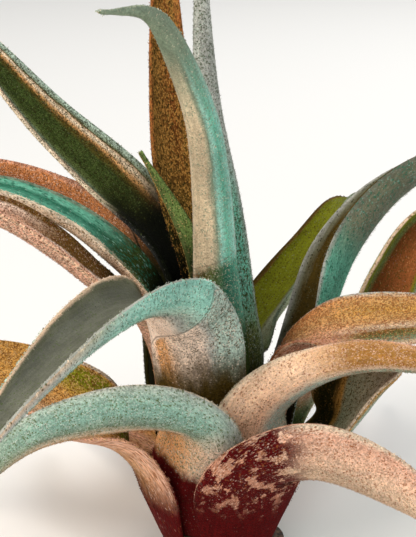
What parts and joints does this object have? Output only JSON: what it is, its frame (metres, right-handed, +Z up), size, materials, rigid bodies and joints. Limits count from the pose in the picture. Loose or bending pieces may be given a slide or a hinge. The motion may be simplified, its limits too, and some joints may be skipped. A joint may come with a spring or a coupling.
{
  "type": "air plant",
  "caption": "Small air plant: a rosette of arching, channelled, hairy leaves in teal, grey-green, pink and rust on a short stem.",
  "frame": {"origin": "middle of the flat spot under the stem", "axes": "+Z up the stem, -Y towards the viewer of the picture, +X to its right"},
  "size_m": [0.1137, 0.1438, 0.0997],
  "materials": {
    "stem_bark": "dry, matt",
    "skin_green": "matt, covered in fine pale scale hairs",
    "skin_olive": "matt, covered in fine pale scale hairs",
    "skin_pink": "matt, covered in fine pale scale hairs",
    "skin_rust": "matt, covered in fine pale scale hairs",
    "skin_sage": "matt, covered in fine pale scale hairs",
    "skin_tan": "matt, covered in fine pale scale hairs",
    "skin_teal": "matt, covered in fine pale scale hairs"
  },
  "bodies": {
    "root": {"stem": "stem_bark", "leaf_heart_spear": "skin_green", "leaf_heart_bud": "skin_green", "leaf_spire_right": "skin_teal", "leaf_spire_back": "skin_rust", "leaf_spire_front": "skin_teal", "leaf_left_high": "skin_sage", "leaf_right_olive": "skin_olive", "leaf_left_teal": "skin_teal", "leaf_right_tan": "skin_tan", "leaf_left_pink": "skin_pink", "leaf_front_arch": "skin_teal", "leaf_right_high": "skin_teal", "leaf_left_rust": "skin_rust", "leaf_right_pink": "skin_pink", "leaf_right_outer": "skin_sage", "leaf_left_low": "skin_sage", "leaf_front_spotted": "skin_pink", "leaf_left_outer": "skin_tan", "leaf_back_upper": "skin_sage", "leaf_back_left": "skin_rust", "leaf_back_right": "skin_pink", "leaf_back_low": "skin_tan"}
  },
  "joints": []
}
